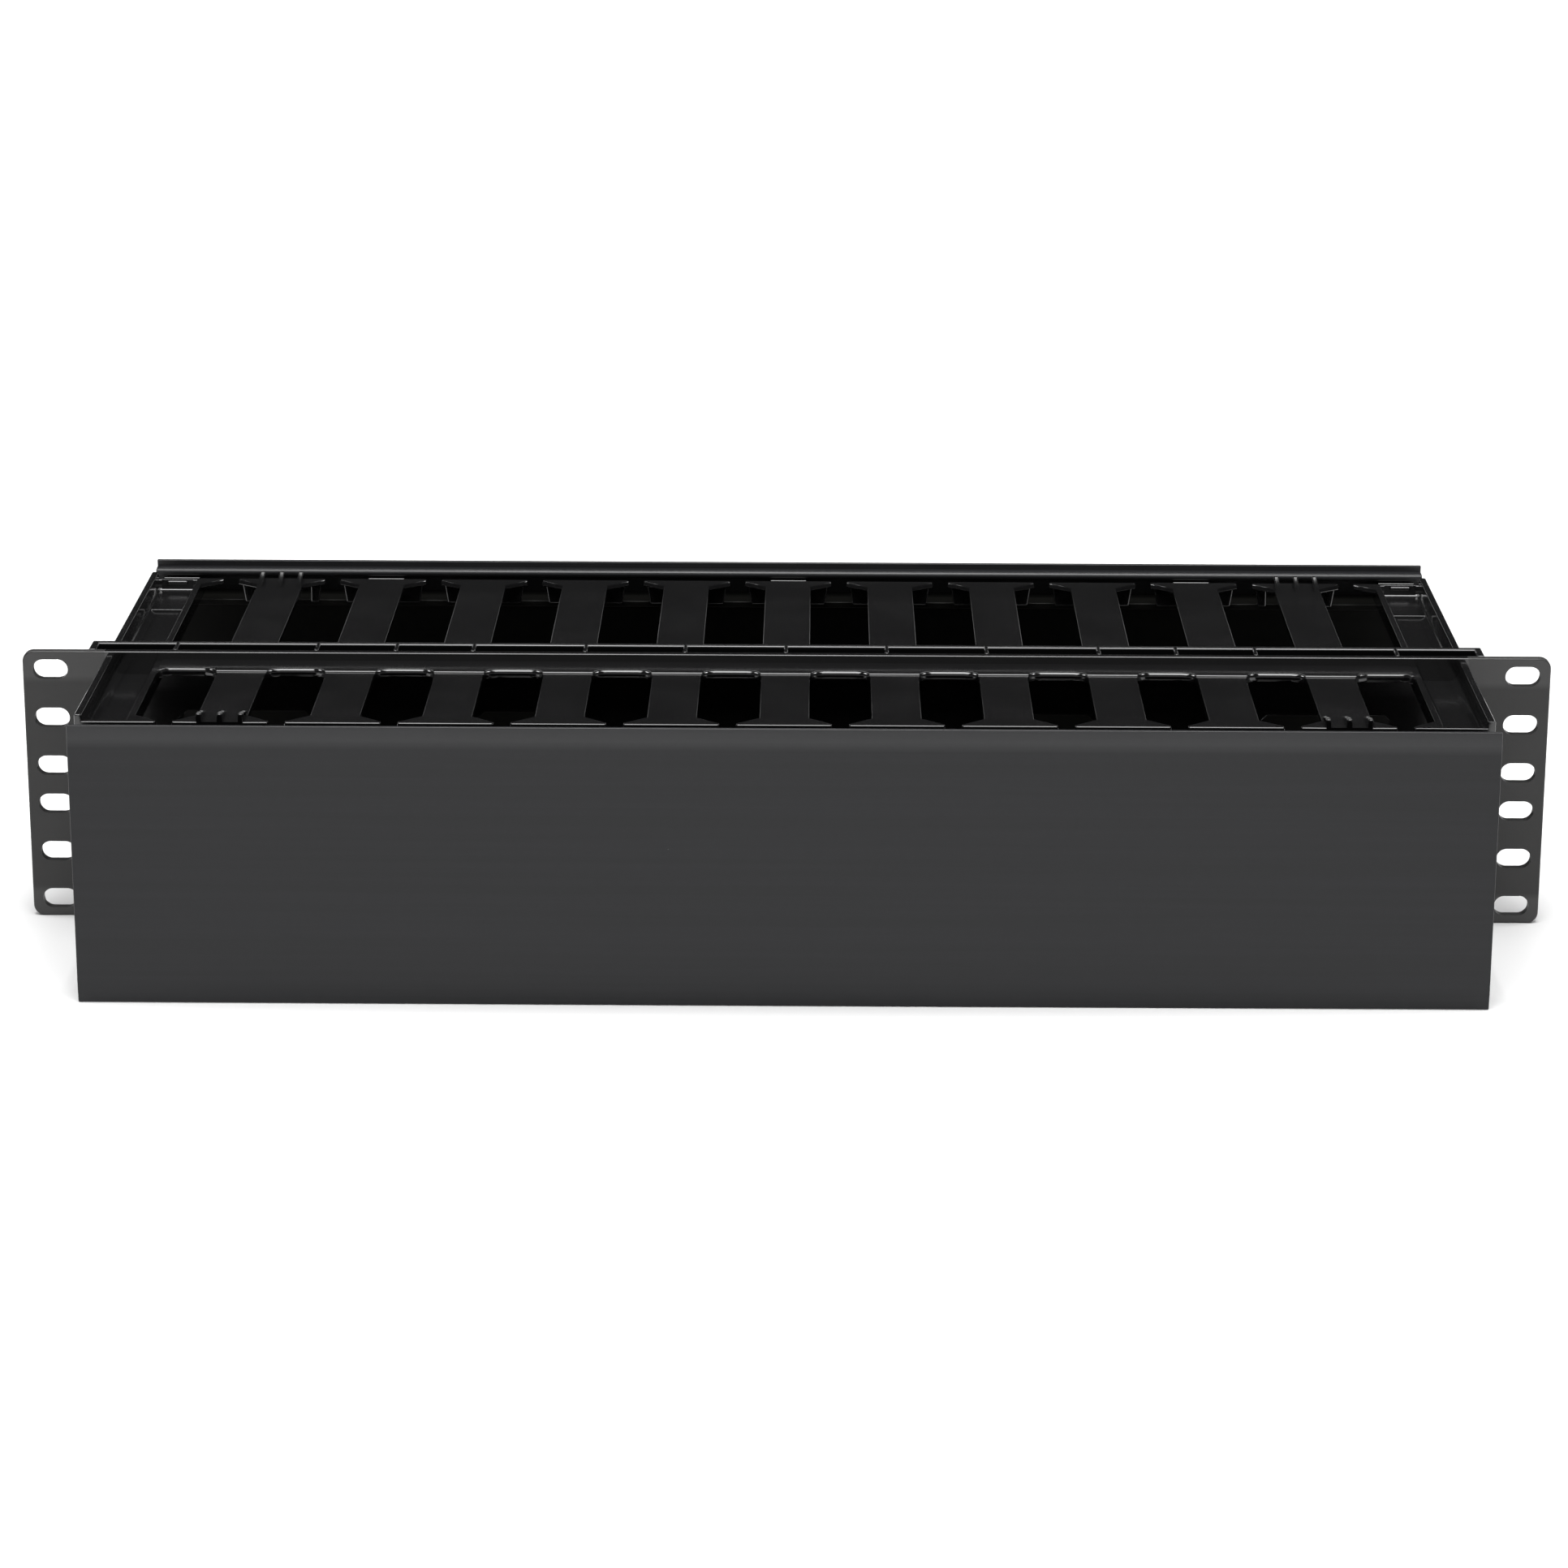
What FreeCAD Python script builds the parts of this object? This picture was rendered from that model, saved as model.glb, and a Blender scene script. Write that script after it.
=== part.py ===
"""Horizontal cable manager, two rack units high: a front and a rear finger duct, each with a hinged cover.

Millimetres. X runs along the rack width, +Y to the back of the rack, +Z up.
The origin is the centre of the rack slots on the rear face of the ears, where they meet the rack rails.

Both ducts are drawn in one local section: v is the distance out from the mounting plane, z the height,
and u the distance inward from the outer face of the cover. The rear duct has v = +Y, the front one v = -Y.
Every duct is the same above and below the middle, so its upper half is drawn and mirrored.
"""
import FreeCAD, Part
import math
import os
from FreeCAD import Vector

# Rack interface
rack_hole_spacing = 465.12
rack_hole_heights = (6.35, 22.225, 38.1)
slot_length = 11.1
slot_width = 6.5
slot_edge_distance = 8.74
panel_height = 88.1
panel_thickness = 3.0
ear_corner_radius = 3.5

# Depths from the mounting plane to the outer face of each cover
front_cover_face = 85.0
rear_cover_face = 115.0

# Fingers
finger_count = 13
finger_width = 15.3
finger_thickness = 2.5
finger_drop = 3.05
front_step_depth = 12.0
rear_step_depth = 9.0
step_height = 0.5
root_setback = 2.5
root_corner_radius = 4.5
root_corner_facets = 3

# Finger heads
head_gap = 5.0
head_inset = 14.8
wing_length = 2.8
wing_taper = 4.9
wing_thickness = 1.5
skirt_thickness = 2.5
skirt_drop = 7.6
skirt_inset = 1.1
skirt_slant = 1.1
claw_width = 3.8

# Hinge
bead_radius = 1.9
bead_inset = 4.9
bead_drop = 4.0
bead_flat = 1.0
foot_drop = 6.5
foot_thickness = 1.1
knuckle_width = 12.0
knuckle_finger_count = 4
hinge_clearance = 0.3

# Covers
cover_slot_gap = 12.51
cover_panel_drop = 0.15
cover_wall = 2.0
cover_lean = 0.6
cover_lean_height = 5.0
lip_drop = 2.0
nose_radius = 1.3
nose_inset = 4.7
shelf_thickness = 2.0
shelf_foot_gap = 1.1
shelf_head_gap = 1.0

# End fingers, which are troughs
trough_width = 17.55
trough_wall = 2.3
trough_depth = 4.3
trough_outer_drop = 0.9
trough_corner_radius = 3.0
trough_chamfer = 1.5
recess_margin = 1.2
recess_depth = 0.8
ledge_length = 28.0
ledge_height = 0.8
dimple_length = 7.0
dimple_height = 1.4

# Fins on the last finger before each trough
fin_count = 3
fin_spacing = 6.4
fin_width = 1.7
fin_height = 2.6
fin_length = 13.0
fin_crest = 2.0

# Back pan of the rear duct
pan_overhang = 6.25
pan_depth = 10.0
pan_wall = 2.5
pan_rib_thickness = 1.5
plain_rib_places = (31.9, 123.5)
window_near_ribs = (63.5, 148.6)
window_far_ribs = (99.0, 193.3)
window_height = 50.0
window_corner = 3.0

# Screws that join the two mouldings
screw_edge_distance = 12.05
screw_shank_diameter = 3.6
screw_head_diameter = 7.6
screw_head_height = 2.3
screw_length = 11.0
screw_hole_clearance = 0.2
boss_width = 8.0

# Worked out
ear_span = rack_hole_spacing + 2 * slot_edge_distance
cover_width = rack_hole_spacing - slot_length - 2 * cover_slot_gap
panel_top = panel_height / 2
last_finger = (finger_count - 1) // 2
fin_finger = last_finger - 1
comb_end = cover_width / 2 - trough_width
finger_pitch = (comb_end + finger_width / 2) / last_finger
finger_top = panel_top - finger_drop
finger_under = finger_top - finger_thickness
wing_middle = finger_top - wing_thickness / 2
skirt_foot = finger_top - skirt_drop
foot_z = finger_top - foot_drop
bead_z = finger_top - bead_drop
nose_z = bead_z + bead_radius + hinge_clearance + nose_radius
shelf_top = foot_z - shelf_foot_gap
trough_floor = finger_top - trough_depth
cover_top = panel_top - cover_panel_drop
rib_places = plain_rib_places + window_near_ribs + window_far_ribs

# Modelling
overlap = 1.0
tolerance = 0.001
along_x = Vector(1, 0, 0)
along_y = Vector(0, 1, 0)
along_z = Vector(0, 0, 1)


def box(x0, x1, v0, v1, z0, z1):
    return Part.makeBox(x1 - x0, v1 - v0, z1 - z0, Vector(x0, v0, z0))


def prism(points, sweep):
    """A closed outline of straight lines, swept along a vector."""
    lines = [Part.LineSegment(a, b).toShape() for a, b in zip(points, points[1:] + points[:1])]
    return Part.Face(Part.Wire(lines)).extrude(sweep)


def pin(radius, x, z, y0, y1):
    """A round bar or bore along Y."""
    return Part.makeCylinder(radius, y1 - y0, Vector(x, y0, z), along_y)


def edges_along(shape, axis):
    return [e for e in shape.Edges if 1 - abs(e.tangentAt(e.FirstParameter).dot(axis)) < tolerance]


def mirrored(shape, normal):
    return shape.mirror(Vector(0, 0, 0), normal)


def both_halves(shape):
    return [shape, mirrored(shape, along_z)]


def both_sides(shape):
    return [shape, mirrored(shape, along_x)]


def gap_cutter(x_gap, root, face):
    """The opening between two fingers, seen from above: a slot with round root corners and a narrow mouth."""
    half = (finger_pitch - finger_width) / 2
    mouth = head_gap / 2
    neck = face - head_inset - wing_length
    side = [(mouth, face), (mouth, neck), (half, neck - wing_taper)]
    centre_x = half - root_corner_radius
    centre_v = root + root_corner_radius
    for i in range(root_corner_facets + 1):
        turn = math.pi / 2 * i / root_corner_facets
        side.append((centre_x + root_corner_radius * math.cos(turn),
                     centre_v - root_corner_radius * math.sin(turn)))
    z0 = finger_under - overlap
    z1 = finger_top + step_height + overlap
    points = [Vector(x_gap + x, v, z0) for x, v in side]
    points += [Vector(x_gap - x, v, z0) for x, v in reversed(side)]
    return prism(points, Vector(0, 0, z1 - z0))


def comb(base, step_depth, face):
    """The top wall of a duct: a raised step at its base, then flat fingers with T-shaped heads."""
    step = base + step_depth
    tip = face - head_inset
    plate = box(-comb_end, comb_end, base - overlap, tip, finger_under, finger_top)
    strip = box(-comb_end, comb_end, base - overlap, step, finger_under, finger_top + step_height)
    gaps = [gap_cutter((k + 0.5) * finger_pitch, step - root_setback, face)
            for k in range(-last_finger, last_finger)]
    thinning = box(-comb_end - overlap, comb_end + overlap, tip - wing_length - wing_taper, tip + overlap,
                   finger_under - overlap, finger_top - wing_thickness)
    return plate.fuse(strip).cut(gaps + [thinning])


def skirt(x, face, split):
    """The tapered tab under a head, which stops cables. A split one leaves only a claw under each wing."""
    v0 = face - head_inset - skirt_thickness
    half_top = (finger_pitch - head_gap) / 2 - skirt_inset
    half_foot = half_top - skirt_slant
    tab = prism([Vector(x - half_top, v0, wing_middle), Vector(x - half_foot, v0, skirt_foot),
                 Vector(x + half_foot, v0, skirt_foot), Vector(x + half_top, v0, wing_middle)],
                Vector(0, skirt_thickness, 0))
    if not split:
        return [tab]
    reach = half_top - claw_width
    middle = box(x - reach, x + reach, v0 - overlap, v0 + skirt_thickness + overlap, skirt_foot - overlap,
                 finger_top)
    return tab.cut(middle).Solids


def hinge_foot(x, face):
    """A foot that runs out from under a head, with the bead that the cover turns on along its end."""
    x0 = x - knuckle_width / 2
    x1 = x + knuckle_width / 2
    bead_v = face - bead_inset
    foot = box(x0, x1, face - head_inset - skirt_thickness, bead_v, foot_z, foot_z + foot_thickness)
    bead = Part.makeCylinder(bead_radius, knuckle_width, Vector(x0, bead_v, bead_z), along_x)
    behind = box(x0 - overlap, x1 + overlap, bead_v - bead_radius - overlap, bead_v - bead_flat,
                 bead_z - bead_radius, bead_z + bead_radius)
    return foot.fuse(bead.cut(behind))


def trough(base, face):
    """An end finger: a channel with a low inner wall, a higher outer wall and a ledge before its end wall."""
    x0, x1 = comb_end, cover_width / 2
    v0, tip = base - overlap, face - head_inset
    wall = trough_wall
    outer_top = panel_top - trough_outer_drop
    block = box(x0, x1, v0, tip, trough_floor - wall, outer_top)
    under = [e for e in edges_along(block, along_y) if e.CenterOfMass.z < trough_floor]
    block = block.makeChamfer(trough_chamfer, under)
    hollow = box(x0 + wall, x1 - wall, v0 - overlap, tip - wall, trough_floor, outer_top + overlap)
    rounded = [e for e in hollow.Edges
               if e.CenterOfMass.z < trough_floor + tolerance and e.CenterOfMass.y > v0]
    hollow = hollow.makeFillet(trough_corner_radius, rounded)
    upper = box(x0 - overlap, x1 - wall, v0 - overlap, tip + overlap, finger_top, outer_top + overlap)
    recess_z = trough_floor + recess_margin
    recess = box(x0 + wall + recess_margin, x1 - wall - recess_margin, tip - wall - overlap,
                 tip - wall + recess_depth, recess_z, outer_top + overlap)
    ledge = box(x0 + wall / 2, x1 - wall / 2, tip - ledge_length, tip - wall / 2,
                trough_floor - wall / 2, trough_floor + ledge_height)
    middle = (x0 + x1) / 2
    dimple = box(middle - dimple_length / 2, middle + dimple_length / 2, tip - wall, tip - wall / 2,
                 recess_z + recess_margin, recess_z + recess_margin + dimple_height)
    return block.cut([hollow, upper, recess]).fuse([ledge, dimple])


def grip_fins(finger, face):
    """Upright wedges near a head, which steady the cables beside the end trough."""
    tip = face - head_inset
    crest = finger_top + fin_height
    fins = []
    for i in range(fin_count):
        x = finger * finger_pitch + (i - (fin_count - 1) / 2) * fin_spacing - fin_width / 2
        fins.append(prism([Vector(x, tip - fin_length, finger_top), Vector(x, tip - fin_crest, crest),
                           Vector(x, tip, crest), Vector(x, tip, wing_middle)], Vector(fin_width, 0, 0)))
    return fins


def duct_half(base, step_depth, face):
    """Everything of a duct above the middle, from the base wall to the hinge beads."""
    pieces = []
    for k in range(1 - last_finger, last_finger):
        pieces += skirt(k * finger_pitch, face, abs(k) == fin_finger)
        if k % knuckle_finger_count == 0:
            pieces.append(hinge_foot(k * finger_pitch, face))
    pieces += both_sides(trough(base, face).fuse(hinge_foot(cover_width / 2 - trough_width / 2, face)))
    for finger in (-fin_finger, fin_finger):
        pieces += grip_fins(finger, face)
    return comb(base, step_depth, face).fuse(pieces)


def window_cutters(y0, y1):
    """The cable pass-throughs, cut along Y between their pairs of ribs, with cut-off corners."""
    half = window_height / 2
    cutters = []
    for near, far in zip(window_near_ribs, window_far_ribs):
        x0 = near + pan_rib_thickness / 2
        x1 = far - pan_rib_thickness / 2
        right = [(x1 - window_corner, -half), (x1, window_corner - half),
                 (x1, half - window_corner), (x1 - window_corner, half)]
        left = [(x0 + x1 - x, z) for x, z in reversed(right)]
        outline = [Vector(x, y0, z) for x, z in right + left]
        cutters += both_sides(prism(outline, Vector(0, y1 - y0, 0)))
    return cutters


def screw_axes():
    """One screw in each corner, midway between the last plain rib and the window rib beyond it."""
    x = (plain_rib_places[-1] + window_near_ribs[-1]) / 2
    z = panel_top - screw_edge_distance
    return [(sx * x, sz * z) for sx in (-1, 1) for sz in (-1, 1)]


def rack_slot(x, z):
    y0, y1 = -panel_thickness - overlap, overlap
    reach = (slot_length - slot_width) / 2
    middle = box(x - reach, x + reach, y0, y1, z - slot_width / 2, z + slot_width / 2)
    ends = [pin(slot_width / 2, x + side * reach, z, y0, y1) for side in (-1, 1)]
    return middle.fuse(ends).removeSplitter()


def ear_panel():
    """The flat panel with its ears and rack slots."""
    panel = box(-ear_span / 2, ear_span / 2, -panel_thickness, 0, -panel_top, panel_top)
    panel = panel.makeFillet(ear_corner_radius, edges_along(panel, along_y))
    cutters = window_cutters(-panel_thickness - overlap, overlap)
    for height in rack_hole_heights:
        for half in both_halves(rack_slot(rack_hole_spacing / 2, height)):
            cutters += both_sides(half)
    hole_radius = screw_shank_diameter / 2 + screw_hole_clearance
    cutters += [pin(hole_radius, x, z, -panel_thickness - overlap, overlap) for x, z in screw_axes()]
    return panel.cut(cutters)


def front_panel():
    half = mirrored(duct_half(panel_thickness, front_step_depth, front_cover_face), along_y)
    return ear_panel().fuse(both_halves(half)).removeSplitter()


def rear_duct():
    """The deep duct, on a pan that is open towards the panel and stiffened by ribs and two rails."""
    half_width = cover_width / 2 + pan_overhang
    pieces = both_sides(box(half_width - pan_wall, half_width, 0, pan_depth, -panel_top, panel_top))
    for place in (0.0,) + rib_places:
        rib = box(place - pan_rib_thickness / 2, place + pan_rib_thickness / 2, 0, pan_depth,
                  -panel_top, panel_top)
        pieces += both_sides(rib) if place else [rib]
    pieces += both_halves(box(-half_width, half_width, 0, pan_depth, window_height / 2,
                              window_height / 2 + pan_rib_thickness))
    for x, z in screw_axes():
        pieces.append(box(x - boss_width / 2, x + boss_width / 2, 0, pan_depth,
                          z - boss_width / 2, z + boss_width / 2))
    pieces += both_halves(duct_half(pan_depth, rear_step_depth, rear_cover_face))
    wall = box(-half_width, half_width, pan_depth - pan_wall, pan_depth, -panel_top, panel_top)
    cutters = window_cutters(-overlap, pan_depth + overlap)
    screw_end = screw_length - panel_thickness
    cutters += [pin(screw_shank_diameter / 2, x, z, -overlap, screw_end) for x, z in screw_axes()]
    return wall.fuse(pieces).cut(cutters).removeSplitter()


def extrusion(outline, face):
    """A section in u and z, swept over the width of the cover."""
    points = [Vector(-cover_width / 2, face - u, z) for u, z in outline]
    return prism(points, Vector(cover_width, 0, 0))


def cover(face):
    """One extrusion: a flat wall with a rounded nose and a shelf along each long edge."""
    top = cover_top
    middle = cover_wall / 2
    wall = extrusion([(0, 0), (0, top - cover_lean_height), (cover_lean, top), (cover_wall, top),
                      (cover_wall, 0)], face)
    lip = extrusion([(middle, top - lip_drop), (cover_wall, top - lip_drop),
                     (nose_inset, nose_z + nose_radius), (nose_inset, nose_z), (middle, nose_z)], face)
    nose = Part.makeCylinder(nose_radius, cover_width, Vector(-cover_width / 2, face - nose_inset, nose_z),
                             along_x)
    shelf_end = head_inset - shelf_head_gap
    shelf = extrusion([(middle, shelf_top), (shelf_end, shelf_top), (shelf_end, shelf_top - shelf_thickness),
                       (middle, shelf_top - shelf_thickness)], face)
    half = wall.fuse([lip, nose, shelf])
    return half.fuse(mirrored(half, along_z)).removeSplitter()


def joining_screws():
    head_face = -panel_thickness
    screws = []
    for x, z in screw_axes():
        shank = pin(screw_shank_diameter / 2, x, z, head_face, screw_length + head_face)
        head = pin(screw_head_diameter / 2, x, z, head_face - screw_head_height, head_face)
        screws.append(shank.fuse(head))
    return Part.makeCompound(screws)


nodes = {
    "front_panel": front_panel(),
    "rear_duct": rear_duct(),
    "front_cover": mirrored(cover(front_cover_face), along_y),
    "rear_cover": cover(rear_cover_face),
    "joining_screws": joining_screws(),
}

os.makedirs("parts", exist_ok=True)
for name, shape in nodes.items():
    shape.exportStep("parts/" + name + ".step")
    print(name, shape.isValid(), len(shape.Solids), round(shape.Volume), "mm3", shape.BoundBox)
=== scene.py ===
"""Looks for a rack cable manager: black moulded ducts with satin extruded covers, on a pale studio floor."""
import math

import bmesh
import bpy
from mathutils import Matrix, Vector


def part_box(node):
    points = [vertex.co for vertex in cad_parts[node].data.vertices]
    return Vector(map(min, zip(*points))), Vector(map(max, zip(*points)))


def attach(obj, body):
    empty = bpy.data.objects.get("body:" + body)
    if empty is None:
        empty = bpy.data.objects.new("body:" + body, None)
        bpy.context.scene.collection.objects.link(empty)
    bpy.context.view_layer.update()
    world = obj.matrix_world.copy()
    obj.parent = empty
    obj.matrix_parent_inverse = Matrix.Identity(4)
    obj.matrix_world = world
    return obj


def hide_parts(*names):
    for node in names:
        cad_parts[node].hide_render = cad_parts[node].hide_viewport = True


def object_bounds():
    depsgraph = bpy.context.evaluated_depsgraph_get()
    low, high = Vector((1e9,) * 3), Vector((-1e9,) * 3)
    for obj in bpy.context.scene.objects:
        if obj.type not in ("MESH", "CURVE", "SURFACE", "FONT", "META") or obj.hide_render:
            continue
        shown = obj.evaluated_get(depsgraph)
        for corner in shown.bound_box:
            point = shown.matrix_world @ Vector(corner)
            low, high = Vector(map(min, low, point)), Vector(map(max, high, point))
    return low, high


bl_info = {
    "name": "Rack Cable Manager Looks",
    "version": (1, 0, 0),
    "blender": (4, 5, 0),
    "location": "View3D > Sidebar > Cable Manager",
    "description": "Finishes the mouldings and covers of a rack cable manager and sets up its studio",
    "category": "Object",
}

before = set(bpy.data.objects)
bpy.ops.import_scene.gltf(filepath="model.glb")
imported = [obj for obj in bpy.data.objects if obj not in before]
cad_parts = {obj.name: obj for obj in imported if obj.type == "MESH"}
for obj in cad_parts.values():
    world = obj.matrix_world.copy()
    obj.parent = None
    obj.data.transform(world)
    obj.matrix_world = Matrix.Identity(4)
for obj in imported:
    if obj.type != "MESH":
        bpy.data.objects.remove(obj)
CAD_LOW, CAD_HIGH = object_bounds()
MM = 0.001
WHITE = (1.0, 1.0, 1.0, 1.0)

# Shapes
MERGE_DISTANCE = 0.002 * MM
FLAT_ANGLE = math.radians(0.5)  # triangles bent less than this make one flat face
CORNER_ANGLE = math.radians(35)  # edges bent more than this are rounded
SMOOTH_ANGLE = math.radians(50)  # faces bent less than this shade as one surface
ROUNDING_SEGMENTS = 2
FACE_SHARE = 0.45  # how much of the way across a face a rounding may take
STRAIGHT = 0.05  # sine of the bend below which two edges count as one line
SPARE_SHARE = 0.05  # how much of an edge the roundings at its ends must leave
FIT_FACTOR = 0.8  # what one step of narrowing leaves of a rounding
FIT_STEPS = 40
LEVEL = 0.99  # least z of the normal of a level face
WING_SLANT = (0.75, 0.9)  # least and most x of the direction of a wing's slanted edge
WING_LENGTH = 4 * MM

# Places where a plastic or its painted shade changes, as the two ends of a soft step
EAR_START = (0.3 * MM, 0.8 * MM)  # beyond the covers' ends
DUCT_INSIDE = (31 * MM, 36 * MM)  # above the middle
# The covers' inner faces, behind the skin and below the top, get painted shade: a darker colour where shade
# falls
COVER_SKIN = (1.0 * MM, 1.8 * MM)  # behind the covers' outer faces
COVER_INSIDE_TOP = (33.5 * MM, 35.5 * MM)  # above the middle
COVER_RIM = (7 * MM, 4 * MM)  # below the covers' upper edges

# Plastics
RIPPLE_SCALE = 45.0
RIPPLE_HEIGHT = 0.05 * MM
MIDDLE_OF_NOISE = (0.3, 0.7)
EAR_GLOSS_SHARE = 0.65
INSIDE_GLOSS_SHARE = 0.2
COVER_GLOSS = (0.32, 0.5)  # below the rim and on it
COVER_INSIDE_GLOSS_SHARE = 0.4
# Painted shade: the darker colour of the covers' inner faces, standing in for the shade inside the covers
COVER_INSIDE_SHADE_COLOR = (0.003, 0.003, 0.0026, 1.0)
STREAK_LIGHTENING = 1.5
DUST_COLOR = (0.16, 0.16, 0.17, 1.0)
DUST_STRENGTH = 0.55
SCREW_COLOR = (0.06, 0.06, 0.065, 1.0)

# Studio
FLOOR_SIZE = 60.0
NEAR_GLOW = (1.0, 1.4, 0.0, 0.2)  # from and to, in the object's half sizes, and the glow there
FAR_GLOW = (3.0, 12.0, 0.0, 0.8)
SENSOR_WIDTH = 36.0
WALL_TOP = (0.085, 0.105)  # sine of the height above the horizon


def ear_inner_edge():
    """Where the ears start: the covers' ends stand just inside them."""
    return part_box("front_cover")[1][0]


# ---------------------------------------------------------------- settings

class MouldingSettings(bpy.types.PropertyGroup):
    edge_radius: bpy.props.FloatProperty(
        name="Edge radius", description="Rounding of the moulded edges", default=0.5 * MM,
        min=0.0, subtype="DISTANCE", unit="LENGTH", precision=5)
    lip_radius: bpy.props.FloatProperty(
        name="Lip radius", description="Rounding of the edges that run across, where cables slide over them",
        default=1.5 * MM, min=0.0, subtype="DISTANCE", unit="LENGTH", precision=5)
    wing_chamfer: bpy.props.FloatProperty(
        name="Wing chamfer", description="Flat chamfer on the slanted edges of the finger heads",
        default=1.1 * MM, min=0.0, subtype="DISTANCE", unit="LENGTH", precision=5)
    duct_color: bpy.props.FloatVectorProperty(
        name="Duct colour", description="Colour of the black moulding plastic",
        default=(0.004, 0.004, 0.0042), size=3, min=0.0, max=1.0, subtype="COLOR")
    duct_roughness: bpy.props.FloatProperty(
        name="Duct roughness", description="How blurred the reflections in the ducts are", default=0.14,
        min=0.0, max=1.0, subtype="FACTOR")
    duct_gloss: bpy.props.FloatProperty(
        name="Duct gloss", description="Strength of the reflections in the black mouldings", default=0.75,
        min=0.0, max=1.0, subtype="FACTOR")
    ear_color: bpy.props.FloatVectorProperty(
        name="Ear colour", description="Colour of the textured ears", default=(0.0125, 0.0120, 0.0116),
        size=3, min=0.0, max=1.0, subtype="COLOR")
    ear_roughness: bpy.props.FloatProperty(
        name="Ear roughness", description="How blurred the reflections in the ears are", default=0.42,
        min=0.0, max=1.0, subtype="FACTOR")


class CoverSettings(bpy.types.PropertyGroup):
    edge_radius: bpy.props.FloatProperty(
        name="Edge radius", description="Rounding of the extruded edges", default=0.3 * MM,
        min=0.0, subtype="DISTANCE", unit="LENGTH", precision=5)
    color: bpy.props.FloatVectorProperty(
        name="Cover colour", description="Colour of the extruded plastic", default=(0.0072, 0.0074, 0.0085),
        size=3, min=0.0, max=1.0, subtype="COLOR")
    roughness: bpy.props.FloatProperty(
        name="Cover roughness", description="How blurred the reflections in the covers are", default=0.38,
        min=0.0, max=1.0, subtype="FACTOR")
    line_depth: bpy.props.FloatProperty(
        name="Line depth", description="Height of the fine lines left by the extrusion die",
        default=0.004 * MM, min=0.0, subtype="DISTANCE", unit="LENGTH", precision=6)


class StudioSettings(bpy.types.PropertyGroup):
    floor_color: bpy.props.FloatVectorProperty(
        name="Floor colour", description="Colour of the pale floor", default=(0.82, 0.82, 0.82),
        size=3, min=0.0, max=1.0, subtype="COLOR")
    lens: bpy.props.FloatProperty(
        name="Lens", description="Focal length on a 36 mm sensor, in millimetres", default=105.77,
        min=10.0, precision=2)
    camera_place: bpy.props.FloatVectorProperty(
        name="Camera place", description="Where the camera stands", default=(0.0099, -1.4023, 0.4369),
        size=3, subtype="TRANSLATION", unit="LENGTH", precision=4)
    camera_turn: bpy.props.FloatProperty(
        name="Turn", description="Camera's turn about the upright axis", default=0.0074, subtype="ANGLE")
    camera_tilt: bpy.props.FloatProperty(
        name="Tilt", description="How far the camera looks down", default=0.3017, subtype="ANGLE")
    camera_roll: bpy.props.FloatProperty(
        name="Roll", description="Camera's turn about its own line of sight", default=0.0031, subtype="ANGLE")
    top_light: bpy.props.FloatProperty(
        name="Top light", description="Power of the soft box overhead", default=52.0, min=0.0, unit="POWER")
    side_light: bpy.props.FloatProperty(
        name="Side light", description="Power of the soft box high on each side", default=14.0,
        min=0.0, unit="POWER")
    front_light: bpy.props.FloatProperty(
        name="Front light", description="Power of the soft box in front", default=5.6, min=0.0, unit="POWER")
    back_light: bpy.props.FloatProperty(
        name="Back light", description="Power of the strip light behind", default=3.0, min=0.0, unit="POWER")
    world_level: bpy.props.FloatProperty(
        name="Room level", description="Brightness of the dim room around the studio", default=0.025, min=0.0)


# ---------------------------------------------------------------- materials

def new_material(name):
    """An empty material with its nodes, its links and the wired Principled shader."""
    material = bpy.data.materials.new(name)
    material.use_nodes = True
    tree = material.node_tree
    tree.nodes.clear()
    output = tree.nodes.new("ShaderNodeOutputMaterial")
    shader = tree.nodes.new("ShaderNodeBsdfPrincipled")
    tree.links.new(shader.outputs["BSDF"], output.inputs["Surface"])
    return material, tree, shader


def axis_values(tree, space="Object"):
    """The shaded point's X, Y and Z."""
    place = tree.nodes.new("ShaderNodeTexCoord")
    axes = tree.nodes.new("ShaderNodeSeparateXYZ")
    tree.links.new(place.outputs[space], axes.inputs["Vector"])
    return axes.outputs


def object_coordinates(tree, scale=(1.0, 1.0, 1.0), shift=(0.0, 0.0, 0.0)):
    """The shaded point as a vector, scaled and shifted."""
    place = tree.nodes.new("ShaderNodeTexCoord")
    mapping = tree.nodes.new("ShaderNodeMapping")
    mapping.inputs["Scale"].default_value = scale
    mapping.inputs["Location"].default_value = shift
    tree.links.new(place.outputs["Object"], mapping.inputs["Vector"])
    return mapping.outputs["Vector"]


def noise(tree, vector, scale, detail=2.0, roughness=0.5):
    node = tree.nodes.new("ShaderNodeTexNoise")
    node.inputs["Scale"].default_value = scale
    node.inputs["Detail"].default_value = detail
    node.inputs["Roughness"].default_value = roughness
    tree.links.new(vector, node.inputs["Vector"])
    return node.outputs["Fac"]


def remap(tree, value, low, high, new_low, new_high):
    """Maps a value from one range to another and clamps it there."""
    node = tree.nodes.new("ShaderNodeMapRange")
    node.inputs["From Min"].default_value = low
    node.inputs["From Max"].default_value = high
    node.inputs["To Min"].default_value = new_low
    node.inputs["To Max"].default_value = new_high
    tree.links.new(value, node.inputs["Value"])
    return node.outputs["Result"]


def math_node(tree, operation, first, second=0.0):
    """The result of an operation on one or two values, each a number or a socket."""
    node = tree.nodes.new("ShaderNodeMath")
    node.operation = operation
    for socket, value in zip(node.inputs, (first, second)):
        if isinstance(value, (int, float)):
            socket.default_value = value
        else:
            tree.links.new(value, socket)
    return node.outputs[0]


def distance_from_middle(tree, value):
    return math_node(tree, "ABSOLUTE", value)


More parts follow.
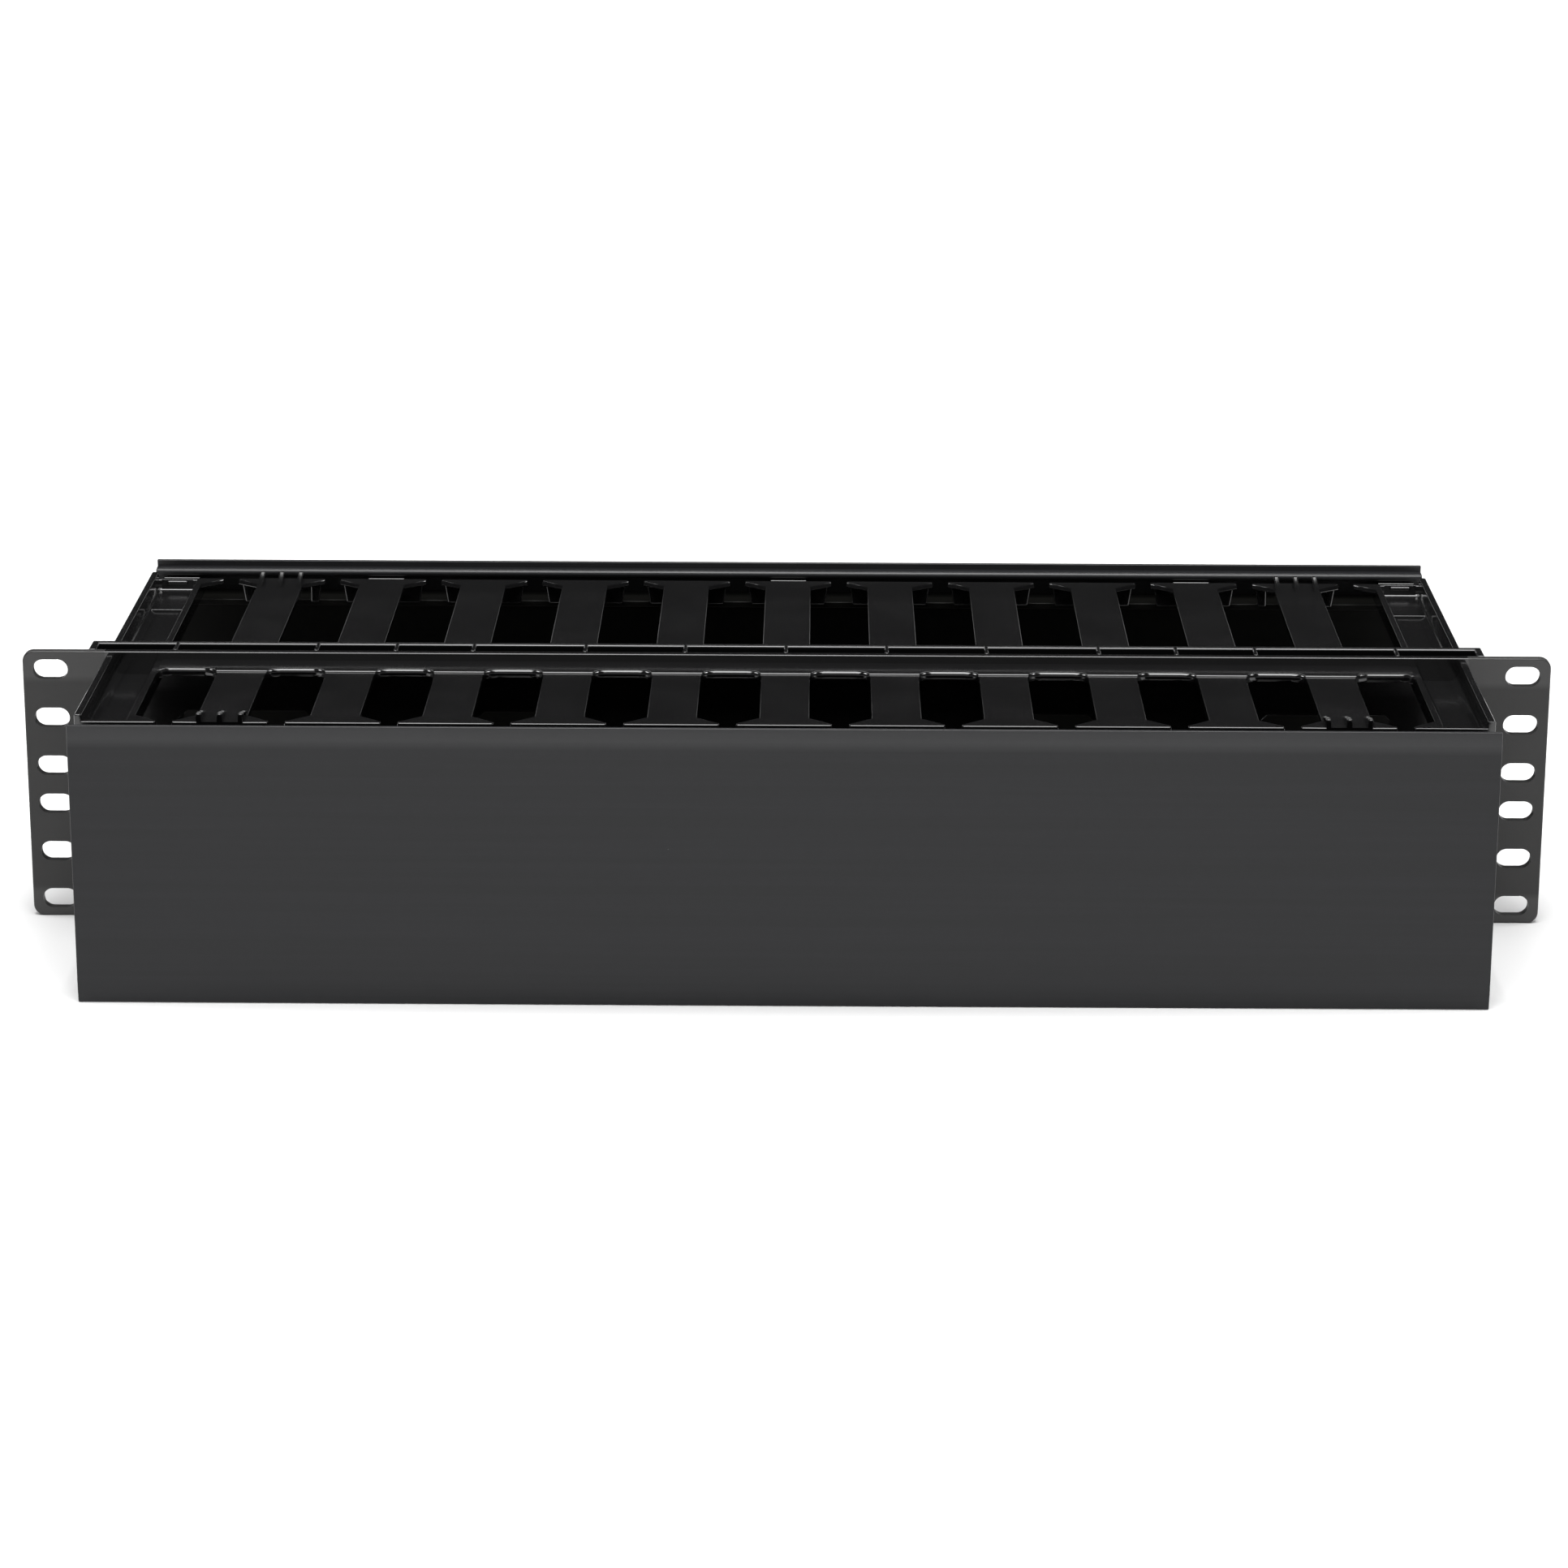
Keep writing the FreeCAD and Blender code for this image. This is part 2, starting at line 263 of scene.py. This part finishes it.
def uneven(tree, pattern, value, low_share, high_share):
    """A value that follows a noise pattern between two shares of itself."""
    return remap(tree, pattern, *MIDDLE_OF_NOISE, value * low_share, value * high_share)


def seen_or_mirrored(tree):
    """1 for rays from the camera and for those mirrored or bent by a surface, 0 for those that light one."""
    path = tree.nodes.new("ShaderNodeLightPath")
    bounced = math_node(tree, "MAXIMUM", path.outputs["Is Glossy Ray"], path.outputs["Is Transmission Ray"])
    return math_node(tree, "MAXIMUM", path.outputs["Is Camera Ray"], bounced)


def mix_colors(tree, factor, first, second):
    """The first colour where the factor is 0 and the second where it is 1."""
    node = tree.nodes.new("ShaderNodeMix")
    node.data_type = "RGBA"
    tree.links.new(factor, node.inputs["Factor"])
    for socket, value in ((node.inputs["A"], first), (node.inputs["B"], second)):
        if isinstance(value, tuple):
            socket.default_value = value
        else:
            tree.links.new(value, socket)
    return node.outputs["Result"]


def bump(tree, shader, height, depth):
    """Lets a height between 0 and 1 raise the surface by up to a depth."""
    node = tree.nodes.new("ShaderNodeBump")
    node.inputs["Distance"].default_value = depth
    node.inputs["Strength"].default_value = 1.0
    tree.links.new(height, node.inputs["Height"])
    tree.links.new(node.outputs["Normal"], shader.inputs["Normal"])


def specks(tree, scale, radius, seed_offset):
    """A mask of a few tiny round specks, from the cells of a Voronoi pattern."""
    cells = tree.nodes.new("ShaderNodeTexVoronoi")
    cells.inputs["Scale"].default_value = scale
    tree.links.new(object_coordinates(tree, shift=seed_offset), cells.inputs["Vector"])
    return remap(tree, cells.outputs["Distance"], radius * 0.6, radius, 1.0, 0.0)


def duct_plastic(settings):
    """Glossy black moulding plastic with a slight ripple."""
    material, tree, shader = new_material("duct_plastic")
    shader.inputs["Base Color"].default_value = (*settings.duct_color, 1.0)
    shader.inputs["Specular IOR Level"].default_value = settings.duct_gloss
    ripple = noise(tree, object_coordinates(tree), RIPPLE_SCALE)
    grain = noise(tree, object_coordinates(tree), scale=900.0, detail=3.0)
    roughness = uneven(tree, ripple, settings.duct_roughness, 0.8, 1.3)
    tree.links.new(roughness, shader.inputs["Roughness"])
    height = math_node(tree, "ADD", ripple, math_node(tree, "MULTIPLY", grain, 0.05))
    bump(tree, shader, height, RIPPLE_HEIGHT)
    return material


def panel_plastic(settings):
    """The same black plastic, duller inside the duct, with a satin grain on the ears."""
    material, tree, shader = new_material("panel_plastic")
    axes = axis_values(tree)
    edge = ear_inner_edge()
    across = distance_from_middle(tree, axes["X"])
    ear = remap(tree, across, edge + EAR_START[0], edge + EAR_START[1], 0.0, 1.0)
    color = mix_colors(tree, ear, (*settings.duct_color, 1.0), (*settings.ear_color, 1.0))
    tree.links.new(color, shader.inputs["Base Color"])
    ripple = noise(tree, object_coordinates(tree), RIPPLE_SCALE)
    duct_roughness = uneven(tree, ripple, settings.duct_roughness, 0.8, 1.3)
    ear_roughness = uneven(tree, ripple, settings.ear_roughness, 0.95, 1.05)
    roughness = math_node(tree, "ADD", math_node(tree, "MULTIPLY", ear_roughness, ear),
                          math_node(tree, "MULTIPLY", duct_roughness, math_node(tree, "SUBTRACT", 1.0, ear)))
    tree.links.new(roughness, shader.inputs["Roughness"])
    duct_gloss = remap(tree, distance_from_middle(tree, axes["Z"]), *DUCT_INSIDE,
                       settings.duct_gloss * INSIDE_GLOSS_SHARE, settings.duct_gloss)
    ear_gloss = math_node(tree, "MULTIPLY", ear, EAR_GLOSS_SHARE * settings.duct_gloss)
    gloss = math_node(tree, "MAXIMUM", duct_gloss, ear_gloss)
    tree.links.new(gloss, shader.inputs["Specular IOR Level"])
    grain = noise(tree, object_coordinates(tree), scale=1600.0, detail=3.0, roughness=0.7)
    leather = math_node(tree, "MULTIPLY", math_node(tree, "MULTIPLY", grain, ear), 0.6)
    bump(tree, shader, math_node(tree, "ADD", ripple, leather), RIPPLE_HEIGHT)
    return material


def cover_depth(tree, y):
    """How far behind the outer skin of its cover a point lies."""
    behind_front = math_node(tree, "SUBTRACT", y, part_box("front_cover")[0][1])
    behind_rear = math_node(tree, "SUBTRACT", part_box("rear_cover")[1][1], y)
    return math_node(tree, "MINIMUM", behind_front, behind_rear)


def cover_color(tree, settings, streak):
    """The covers' colour, with lighter streaks and a few dust specks."""
    lighter = tuple(min(1.0, c * STREAK_LIGHTENING) for c in settings.color)
    streaks = remap(tree, streak, 0.35, 0.75, 0.0, 1.0)
    streaked = mix_colors(tree, streaks, (*settings.color, 1.0), (*lighter, 1.0))
    dust = math_node(tree, "MAXIMUM", specks(tree, 26.0, 0.010, (0.3, 0.1, 0.7)),
                     specks(tree, 60.0, 0.012, (0.9, 0.4, 0.2)))
    patches = remap(tree, noise(tree, object_coordinates(tree), 7.0), 0.50, 0.56, 0.0, DUST_STRENGTH)
    return mix_colors(tree, math_node(tree, "MULTIPLY", dust, patches), streaked, DUST_COLOR)


def cover_plastic(settings):
    """Satin extruded plastic, darkened inside by painted shade and shinier at the rim, with faint lines along
    its length.
    """
    material, tree, shader = new_material("cover_plastic")
    axes = axis_values(tree)
    # Mask of the covers' inner faces, behind the skin and below the top: painted shade darkens their colour,
    # and their gloss is lowered
    behind_skin = remap(tree, cover_depth(tree, axes["Y"]), *COVER_SKIN, 0.0, 1.0)
    below_rim = remap(tree, distance_from_middle(tree, axes["Z"]), *COVER_INSIDE_TOP, 1.0, 0.0)
    inside = math_node(tree, "MULTIPLY", behind_skin, below_rim)
    streak = noise(tree, object_coordinates(tree, (0.9, 60.0, 60.0)), scale=5.0, detail=4.0, roughness=0.6)
    color = mix_colors(tree, inside, cover_color(tree, settings, streak), COVER_INSIDE_SHADE_COLOR)
    tree.links.new(color, shader.inputs["Base Color"])
    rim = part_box("front_cover")[1][2]
    rim_gloss = remap(tree, axes["Z"], rim - COVER_RIM[0], rim - COVER_RIM[1], *COVER_GLOSS)
    gloss_share = remap(tree, inside, 0.0, 1.0, 1.0, COVER_INSIDE_GLOSS_SHARE)
    gloss = math_node(tree, "MULTIPLY", rim_gloss, gloss_share)
    tree.links.new(gloss, shader.inputs["Specular IOR Level"])
    roughness = uneven(tree, streak, settings.roughness, 0.92, 1.08)
    tree.links.new(roughness, shader.inputs["Roughness"])
    lines = noise(tree, object_coordinates(tree, (0.25, 260.0, 260.0)), scale=6.0, detail=3.0, roughness=0.6)
    waves = noise(tree, object_coordinates(tree, (0.15, 25.0, 25.0)), scale=4.0, detail=1.0)
    height = math_node(tree, "ADD", lines, math_node(tree, "MULTIPLY", waves, 4.0))
    bump(tree, shader, height, settings.line_depth)
    return material


def screw_steel():
    """Blackened steel with uneven gloss."""
    material, tree, shader = new_material("screw_steel")
    shader.inputs["Base Color"].default_value = SCREW_COLOR
    shader.inputs["Metallic"].default_value = 0.8
    wear = noise(tree, object_coordinates(tree), scale=900.0, detail=3.0)
    tree.links.new(remap(tree, wear, *MIDDLE_OF_NOISE, 0.25, 0.45), shader.inputs["Roughness"])
    return material


# ---------------------------------------------------------------- shaping

def deselect_all():
    if bpy.context.object and bpy.context.object.mode != "OBJECT":
        bpy.ops.object.mode_set(mode="OBJECT")
    bpy.ops.object.select_all(action="DESELECT")


def make_active(piece):
    deselect_all()
    piece.select_set(True)
    bpy.context.view_layer.objects.active = piece


def direction(edge):
    return (edge.verts[1].co - edge.verts[0].co).normalized()


def is_corner(edge):
    """True for an outward corner of the solid that is sharp enough to be rounded."""
    return len(edge.link_faces) == 2 and edge.is_convex and edge.calc_face_angle() > CORNER_ANGLE


def room_beside(loop, corners):
    """How far a rounding may reach into the face beside it: half as far where another corner waits across."""
    start = loop.vert.co
    span = loop.link_loop_next.vert.co - start
    along = span.normalized()
    inward = loop.face.normal.cross(along)
    room = 2 * FACE_SHARE * loop.face.calc_area() / span.length
    for other in loop.face.loops:
        if other in (loop, loop.link_loop_prev, loop.link_loop_next):
            continue
        from_start, to_start = other.vert.co - start, other.link_loop_next.vert.co - start
        first, last = from_start.dot(along), to_start.dot(along)
        low, high = max(0.0, min(first, last)), min(span.length, max(first, last))
        if low >= high:
            continue
        height, rise = from_start.dot(inward), (to_start - from_start).dot(inward) / (last - first)
        depth = min(height + rise * (place - first) for place in (low, high))
        if depth > 0.0:
            room = min(room, depth * FACE_SHARE * (1 if other.edge in corners else 2))
    return room


def loss(edge, start, other, normal, widths):
    """How much length an edge of a face loses at one end when it and the edge it meets there are rounded."""
    along = (edge.other_vert(start).co - start.co).normalized()
    away = (other.other_vert(start).co - start.co).normalized()
    sine = along.cross(away).dot(normal)
    if abs(sine) < STRAIGHT:
        return 0.0
    return (widths[other] + widths[edge] * along.dot(away)) / sine


def crowded_edges(face, widths):
    """The roundings of a face that leave less than nothing of one of its edges."""
    for loop in face.loops:
        edge, before, after = loop.edge, loop.link_loop_prev.edge, loop.link_loop_next.edge
        start, end = loop.vert, loop.link_loop_next.vert
        taken = (loss(edge, start, before, face.normal, widths)
                 + loss(edge, end, after, -face.normal, widths))
        if taken > (1.0 - SPARE_SHARE) * edge.calc_length():
            yield from (edge, before, after)


def fit_widths(model, widths):
    """Narrows the roundings step by step until none of them folds a face over."""
    for _ in range(FIT_STEPS):
        crowded = {edge for face in model.faces for edge in crowded_edges(face, widths)}
        if not any(widths[edge] for edge in crowded):
            return
        for edge in crowded:
            widths[edge] *= FIT_FACTOR


def rim_axis(edge):
    """The axis that the face around an opening looks along, where this edge is on the opening's rim."""
    for loop in edge.link_loops:
        if not loop.is_convex and not loop.link_loop_next.is_convex:
            return max("xyz", key=lambda axis: abs(getattr(loop.face.normal, axis)))
    return None


def wanted_width(edge, radius, lip_radius):
    """Wide where cables bend over the rim of a level opening, and nothing on holes in upright walls."""
    axis = rim_axis(edge)
    if axis == "y":
        return 0.0
    across = abs(direction(edge).x) if axis == "z" else 0.0
    return (radius + (lip_radius - radius) * across) * math.tan(edge.calc_face_angle() / 2)


def mark_corners(mesh, radius, lip_radius):
    """Marks the outer corners for rounding, each as wide as it should be and as its faces have room for."""
    model = bmesh.new()
    model.from_mesh(mesh)
    weights = model.edges.layers.float.new("bevel_weight_edge")
    corners = {edge for edge in model.edges if is_corner(edge)}
    widths = dict.fromkeys(model.edges, 0.0)
    for edge in corners:
        room = min(room_beside(loop, corners) for loop in edge.link_loops)
        widths[edge] = min(wanted_width(edge, radius, lip_radius), room)
    fit_widths(model, widths)
    widest = max(widths.values())
    for edge, width in widths.items():
        edge[weights] = width / widest
    model.to_mesh(mesh)
    model.free()
    return widest


def is_wing_edge(edge):
    """True for the slanted edges of the finger heads, on the side that shows."""
    middle = (edge.verts[0].co + edge.verts[1].co) / 2
    level = any(face.normal.z * math.copysign(1.0, middle.z) > LEVEL for face in edge.link_faces)
    slanted = WING_SLANT[0] < abs(direction(edge).x) < WING_SLANT[1]
    return level and slanted and edge.calc_length() > WING_LENGTH


def chamfer_wings(mesh, width):
    """Cuts a flat chamfer along the slanted edges of the finger heads."""
    model = bmesh.new()
    model.from_mesh(mesh)
    wings = [edge for edge in model.edges if is_corner(edge) and is_wing_edge(edge)]
    bmesh.ops.bevel(model, geom=wings, offset=width, segments=1, affect="EDGES", clamp_overlap=False)
    model.to_mesh(mesh)
    model.free()


def smooth_corners(mesh):
    """Sets normals that keep flat faces flat and turn smoothly over the rounded corners between them."""
    faces_at = [[] for _ in mesh.vertices]
    for face in mesh.polygons:
        for corner in face.vertices:
            faces_at[corner].append(face)
    limit = math.cos(SMOOTH_ANGLE)
    normals = []
    for face in mesh.polygons:
        for corner in face.vertices:
            near = [other for other in faces_at[corner] if other.normal.dot(face.normal) > limit]
            total = sum((other.normal * (other.area / face.area) ** 2 for other in near), Vector())
            normals.append(total.normalized())
    mesh.normals_split_custom_set(normals)


def rounded_copy(node, name, radius, lip_radius, chamfer=0.0):
    """A copy of a CAD node with its triangles merged to flat faces and its outer corners rounded."""
    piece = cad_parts[node].copy()
    piece.data = piece.data.copy()
    piece.name = name
    piece.data.name = name
    bpy.context.scene.collection.objects.link(piece)
    make_active(piece)
    bpy.ops.object.mode_set(mode="EDIT")
    bpy.ops.mesh.select_all(action="SELECT")
    bpy.ops.mesh.remove_doubles(threshold=MERGE_DISTANCE)
    bpy.ops.mesh.dissolve_limited(angle_limit=FLAT_ANGLE)
    bpy.ops.object.mode_set(mode="OBJECT")
    if chamfer:
        chamfer_wings(piece.data, chamfer)
    rounding = piece.modifiers.new("corner rounding", "BEVEL")
    rounding.width = mark_corners(piece.data, radius, lip_radius)
    rounding.segments = ROUNDING_SEGMENTS
    rounding.limit_method = "WEIGHT"
    rounding.use_clamp_overlap = False
    bpy.ops.object.modifier_apply(modifier=rounding.name)
    bpy.ops.object.shade_smooth()
    smooth_corners(piece.data)
    return piece


def finish_piece(piece, body, node, material):
    """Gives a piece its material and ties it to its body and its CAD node."""
    piece.data.materials.clear()
    piece.data.materials.append(material)
    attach(piece, body)
    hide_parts(node)


# ---------------------------------------------------------------- operators

class CABLE_OT_mouldings(bpy.types.Operator):
    """Round the edges of the two mouldings and give them their plastics"""
    bl_idname = "cable_manager.mouldings"
    bl_label = "Front and rear mouldings"

    def execute(self, context):
        settings = context.scene.cable_mouldings
        radii = (settings.edge_radius, settings.lip_radius, settings.wing_chamfer)
        front = rounded_copy("front_panel", "front_panel_moulding", *radii)
        finish_piece(front, "base", "front_panel", panel_plastic(settings))
        rear = rounded_copy("rear_duct", "rear_duct_moulding", *radii)
        finish_piece(rear, "base", "rear_duct", duct_plastic(settings))
        return {"FINISHED"}


class CABLE_OT_covers(bpy.types.Operator):
    """Round the edges of the two covers and give them their extruded plastic"""
    bl_idname = "cable_manager.covers"
    bl_label = "Covers"

    def execute(self, context):
        settings = context.scene.cable_covers
        material = cover_plastic(settings)
        for node in ("front_cover", "rear_cover"):
            piece = rounded_copy(node, node + "_extrusion", settings.edge_radius, settings.edge_radius)
            finish_piece(piece, node, node, material)
        return {"FINISHED"}


class CABLE_OT_screws(bpy.types.Operator):
    """Give the joining screws their blackened steel"""
    bl_idname = "cable_manager.screws"
    bl_label = "Joining screws"

    def execute(self, context):
        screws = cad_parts["joining_screws"]
        screws.data.materials.clear()
        screws.data.materials.append(screw_steel())
        return {"FINISHED"}


class CABLE_OT_studio(bpy.types.Operator):
    """Set up the floor, the soft lights and the camera"""
    bl_idname = "cable_manager.studio"
    bl_label = "Studio"

    def execute(self, context):
        settings = context.scene.cable_studio
        self.floor(settings)
        self.lights(settings)
        self.room(settings)
        self.camera(context, settings)
        context.scene.view_settings.view_transform = "Standard"
        return {"FINISHED"}

    def floor(self, settings):
        """A pale floor that takes the object's shadow, and glows to white around and far behind it."""
        deselect_all()
        bpy.ops.mesh.primitive_plane_add(size=FLOOR_SIZE, location=(0.0, 0.0, CAD_LOW.z))
        floor = bpy.context.object
        floor.name = "studio_floor"
        material, tree, shader = new_material("studio_floor")
        shader.inputs["Base Color"].default_value = (*settings.floor_color, 1.0)
        shader.inputs["Roughness"].default_value = 0.9
        shader.inputs["Specular IOR Level"].default_value = 0.0
        middle = (CAD_LOW + CAD_HIGH) / 2
        reach = (CAD_HIGH - CAD_LOW) / 2
        around = object_coordinates(tree, (1 / reach.x, 1 / reach.y, 0.0), (0.0, -middle.y / reach.y, 0.0))
        distance = tree.nodes.new("ShaderNodeVectorMath")
        distance.operation = "LENGTH"
        tree.links.new(around, distance.inputs[0])
        near = remap(tree, distance.outputs["Value"], *NEAR_GLOW)
        far = remap(tree, distance.outputs["Value"], *FAR_GLOW)
        glow = math_node(tree, "ADD", near, far)
        strength = math_node(tree, "MULTIPLY", seen_or_mirrored(tree), glow)
        shader.inputs["Emission Color"].default_value = WHITE
        tree.links.new(strength, shader.inputs["Emission Strength"])
        floor.data.materials.append(material)

    def soft_box(self, name, size, power, place):
        """A rectangular lamp aimed at the origin."""
        deselect_all()
        bpy.ops.object.light_add(type="AREA", location=place)
        lamp = bpy.context.object
        lamp.name = name
        lamp.data.shape = "RECTANGLE"
        lamp.data.size, lamp.data.size_y = size
        lamp.data.energy = power
        lamp.rotation_euler = (Vector() - Vector(place)).to_track_quat("-Z", "Y").to_euler()

    def lights(self, settings):
        self.soft_box("top_soft_box", (1.2, 1.6), settings.top_light, (0.0, -0.45, 1.85))
        for side in (-1, 1):
            self.soft_box("side_soft_box", (0.5, 0.5), settings.side_light, (side * 1.45, 0.25, 1.85))
        self.soft_box("front_soft_box", (3.0, 1.4), settings.front_light, (0.0, -2.6, 1.0))
        self.soft_box("back_strip_light", (1.6, 0.2), settings.back_light, (0.0, 1.4, 1.17))

    def room(self, settings):
        """A dim room with a low white wall all round, up to five degrees above the horizon."""
        world = bpy.context.scene.world or bpy.data.worlds.new("dim_room")
        bpy.context.scene.world = world
        world.use_nodes = True
        tree = world.node_tree
        background = tree.nodes.get("Background") or tree.nodes.new("ShaderNodeBackground")
        background.inputs["Color"].default_value = WHITE
        wall = remap(tree, axis_values(tree, "Generated")["Z"], *WALL_TOP, 1.0, 0.0)
        seen_wall = math_node(tree, "MULTIPLY", seen_or_mirrored(tree), wall)
        strength = math_node(tree, "MAXIMUM", seen_wall, settings.world_level)
        tree.links.new(strength, background.inputs["Strength"])

    def camera(self, context, settings):
        deselect_all()
        bpy.ops.object.camera_add(location=settings.camera_place)
        camera = bpy.context.object
        camera.name = "product_camera"
        aim = (Matrix.Rotation(settings.camera_turn, 3, "Z")
               @ Matrix.Rotation(math.pi / 2 - settings.camera_tilt, 3, "X")
               @ Matrix.Rotation(settings.camera_roll, 3, "Z"))
        camera.rotation_euler = aim.to_euler()
        camera.data.sensor_width = SENSOR_WIDTH
        camera.data.lens = settings.lens
        context.scene.camera = camera


class CABLE_PT_panel(bpy.types.Panel):
    """Steps that dress the cable manager"""
    bl_idname = "CABLE_PT_panel"
    bl_label = "Cable Manager"
    bl_space_type = "VIEW_3D"
    bl_region_type = "UI"
    bl_category = "Cable Manager"

    def draw(self, context):
        for operator in OPERATORS:
            self.layout.operator(operator.bl_idname)


OPERATORS = (CABLE_OT_mouldings, CABLE_OT_covers, CABLE_OT_screws, CABLE_OT_studio)
SETTINGS = {
    "cable_mouldings": MouldingSettings,
    "cable_covers": CoverSettings,
    "cable_studio": StudioSettings,
}
CLASSES = (*SETTINGS.values(), *OPERATORS, CABLE_PT_panel)


def register():
    for item in CLASSES:
        bpy.utils.register_class(item)
    for name, settings in SETTINGS.items():
        setattr(bpy.types.Scene, name, bpy.props.PointerProperty(type=settings))


def unregister():
    for name in SETTINGS:
        delattr(bpy.types.Scene, name)
    for item in reversed(CLASSES):
        bpy.utils.unregister_class(item)


def main():
    register()
    bpy.ops.cable_manager.mouldings()
    bpy.ops.cable_manager.covers()
    bpy.ops.cable_manager.screws()
    bpy.ops.cable_manager.studio()


if __name__ == "__main__":
    main()
